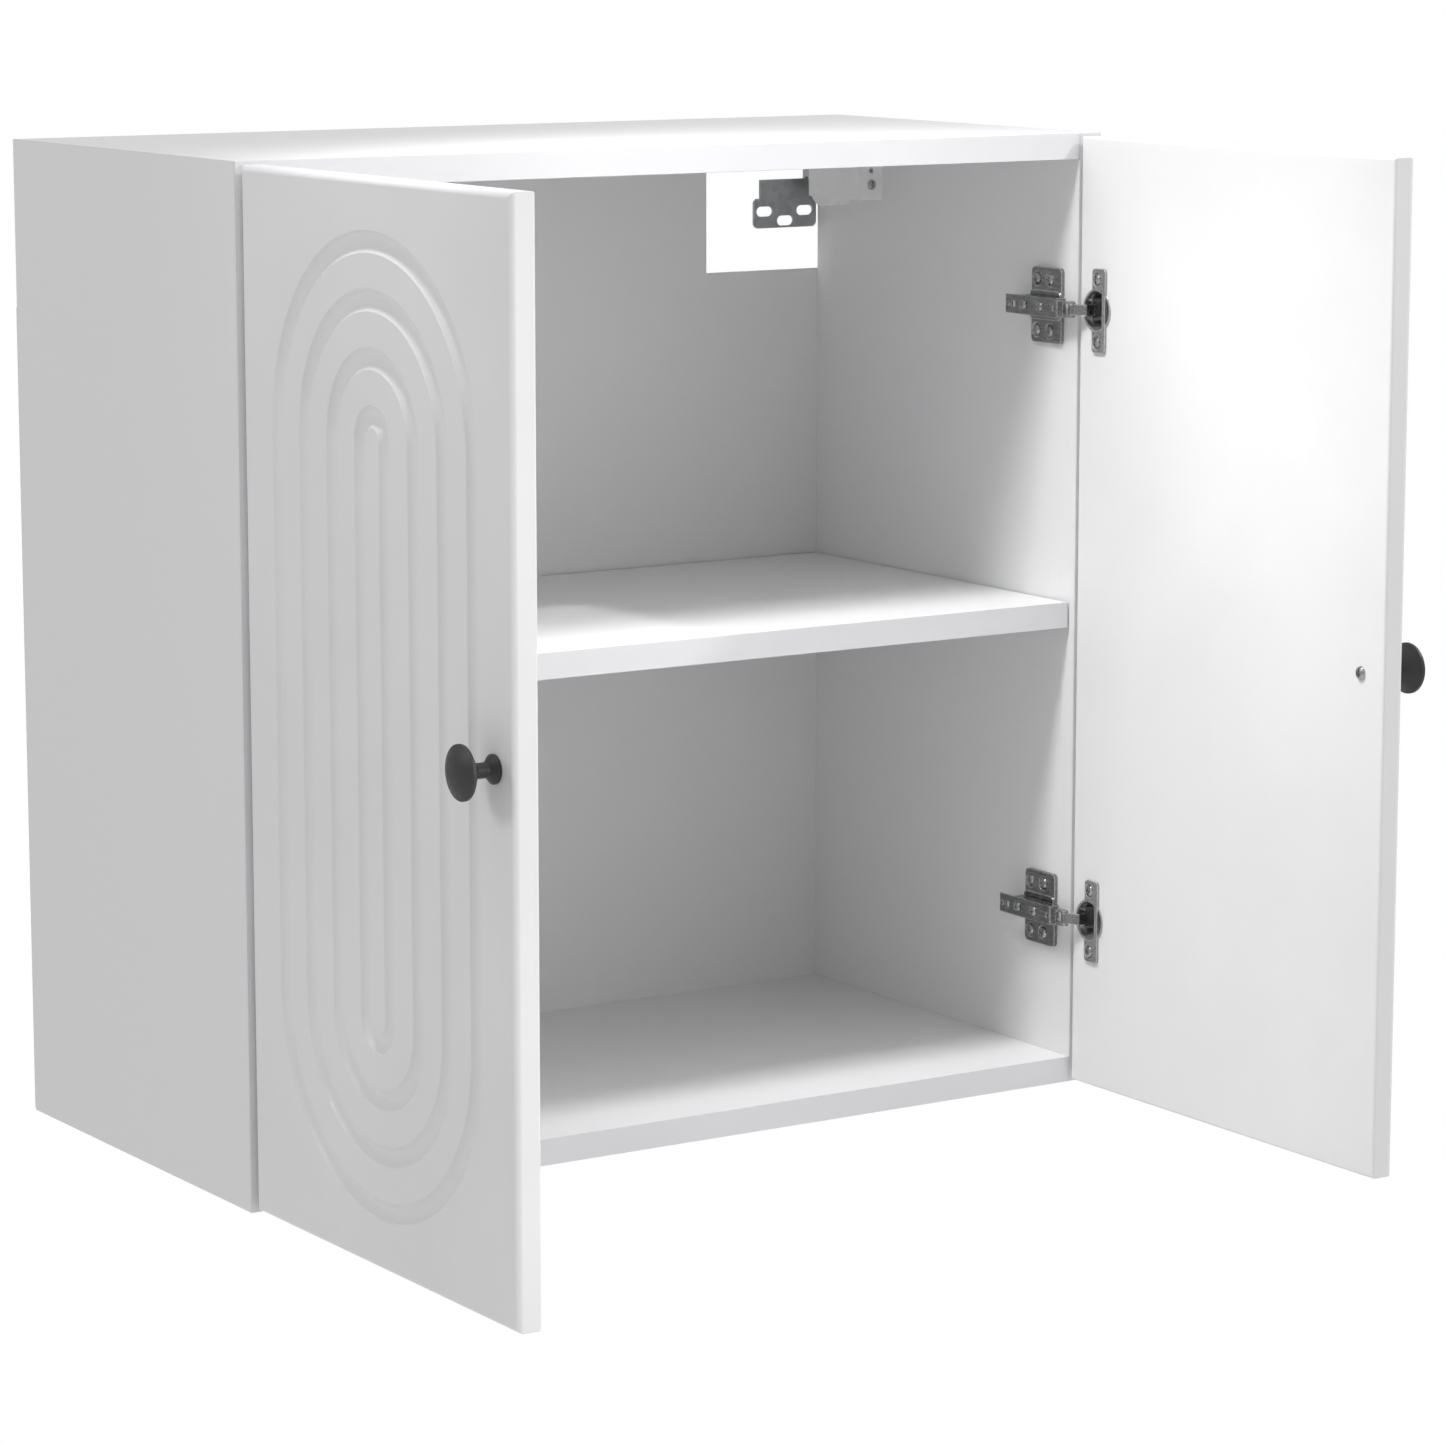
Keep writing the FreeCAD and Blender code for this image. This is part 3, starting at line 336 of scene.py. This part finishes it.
def camera():
    """Look at the cabinet from the front left and a little above."""
    data = bpy.data.cameras.new("view")
    data.lens = LENS
    data.sensor_width = SENSOR
    eye = bpy.data.objects.new("view", data)
    eye.location = EYE
    look = Vector((-math.sin(AZIMUTH) * math.cos(PITCH),
                   math.cos(AZIMUTH) * math.cos(PITCH), -math.sin(PITCH)))
    eye.rotation_euler = look.to_track_quat("-Z", "Y").to_euler()
    bpy.context.collection.objects.link(eye)
    bpy.context.scene.camera = eye


def show_camera(tree, seen, lit, surface):
    """Give the camera one shader and everything else another."""
    path = tree.nodes.new("ShaderNodeLightPath")
    mix = tree.nodes.new("ShaderNodeMixShader")
    tree.links.new(path.outputs["Is Camera Ray"], mix.inputs["Fac"])
    tree.links.new(lit, mix.inputs[1])
    tree.links.new(seen, mix.inputs[2])
    tree.links.new(mix.outputs["Shader"], surface)


def floor():
    """A white floor well below the cabinet, plain white to the camera and softly lit to the rest."""
    bpy.ops.mesh.primitive_plane_add(size=FLOOR_SIZE, location=(0, 0, LOW.z - FLOOR_DROP))
    plane = bpy.context.object
    plane.name = "floor"
    finish = Finish("floor_white", (0.9, 0.9, 0.9), 0.6)
    finish.shader.inputs["Emission Color"].default_value = WHITE_LIGHT
    finish.shader.inputs["Emission Strength"].default_value = FLOOR_GLOW
    seen = finish.add("Emission")
    show_camera(finish.tree, seen.outputs["Emission"], finish.shader.outputs["BSDF"],
                finish.tree.nodes["Material Output"].inputs["Surface"])
    plane.data.materials.append(finish.material)


def area(name, spot, aim, size, power, spread=180):
    """A rectangular lamp at one point, aimed at another; spread is in degrees."""
    data = bpy.data.lights.new(name, "AREA")
    data.shape = "RECTANGLE"
    data.size, data.size_y = size
    data.energy = power
    data.spread = math.radians(spread)
    lamp = bpy.data.objects.new(name, data)
    lamp.location = spot
    lamp.rotation_euler = (Vector(aim) - Vector(spot)).to_track_quat("-Z", "Y").to_euler()
    bpy.context.collection.objects.link(lamp)


def world():
    """A white backdrop to look at, and a weak even fill for everything else."""
    scene = bpy.context.scene
    scene.world = bpy.data.worlds.new("studio")
    scene.world.use_nodes = True
    tree = scene.world.node_tree
    back = tree.nodes["Background"]
    back.inputs["Color"].default_value = WHITE_LIGHT
    back.inputs["Strength"].default_value = WORLD_FILL
    seen = tree.nodes.new("ShaderNodeBackground")
    seen.inputs["Color"].default_value = WHITE_LIGHT
    show_camera(tree, seen.outputs["Background"], back.outputs["Background"],
                tree.nodes["World Output"].inputs["Surface"])


def lights():
    """A small key from the upper right, a lamp between the doors and four others around the cabinet."""
    area("key", spot=(1.72, -1.26, 1.91), aim=(-0.03, -0.2, 0.0), size=(0.12, 0.12), power=32)
    area("between_doors", spot=(-0.27, -0.46, 0.85), aim=(0.285, -0.46, -0.32), size=(0.16, 0.3),
         power=1.35, spread=62)
    area("overhead", spot=(0.1, -1.1, 2.2), aim=(0.0, -0.3, 0.0), size=(1.4, 1.2), power=10)
    area("left_rear", spot=(-2.6, 0.3, 1.4), aim=(-0.3, -0.3, 0.0), size=(0.8, 0.8), power=14)
    area("front_right", spot=(1.5, -3.0, 0.8), aim=(0.0, -0.3, 0.0), size=(1.6, 1.6), power=7)
    area("free_edge", spot=(-0.1, -1.8, 0.2), aim=(-0.292, -0.59, 0.0), size=(0.06, 0.7),
         power=0.1, spread=12)


camera()
floor()
world()
lights()
bpy.context.scene.view_settings.view_transform = "Standard"
